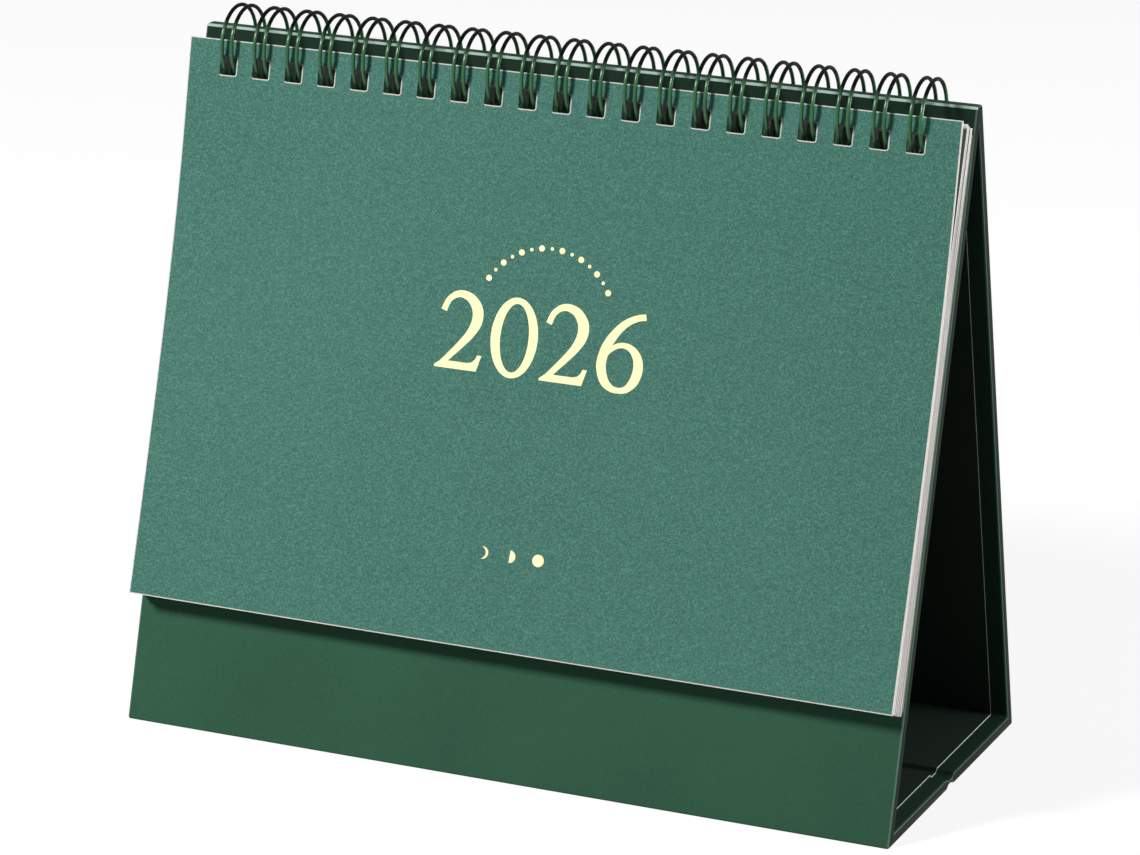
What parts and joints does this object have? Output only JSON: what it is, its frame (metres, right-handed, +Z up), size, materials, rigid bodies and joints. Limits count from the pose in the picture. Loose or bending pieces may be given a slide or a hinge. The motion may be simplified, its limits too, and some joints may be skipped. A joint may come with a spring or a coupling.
{
  "type": "desk easel calendar",
  "caption": "Green desk easel calendar: a wrapped board tent with leaves and a card cover hung on a twin-loop wire.",
  "frame": {"origin": "on the table, at the centre of the tent's footprint", "axes": "+X along the ridge to the right as seen by the reader, +Y to the back, +Z up"},
  "size_m": [0.191, 0.088, 0.1661],
  "materials": {
    "wrap_paper": "green embossed case paper, satin",
    "liner_paper": "dark green uncoated paper",
    "greyboard": "raw grey binder's board",
    "cover_card": "teal green card with a fine pearl sheen and a white core",
    "leaf_paper": "white uncoated paper",
    "coated_wire": "steel wire with a glossy dark green coat",
    "foil": "pale gold hot-stamped foil"
  },
  "bodies": {
    "stand": {"front_board": "greyboard", "back_board": "greyboard", "base_front_board": "greyboard", "base_rear_board": "greyboard", "ridge_strip": "greyboard", "case_wrap": "wrap_paper", "case_liner": "liner_paper", "binding_wire": "coated_wire", "back_card": "leaf_paper", "page_block": "leaf_paper"},
    "cover": {"front_cover": "cover_card"}
  },
  "joints": [
    {"name": "cover_turn", "type": "hinge", "parent": "stand", "child": "cover", "pos_m": [0, -0.00355, 0.1568], "axis": [-1, 0, 0], "range_deg": [0, 165]}
  ]
}
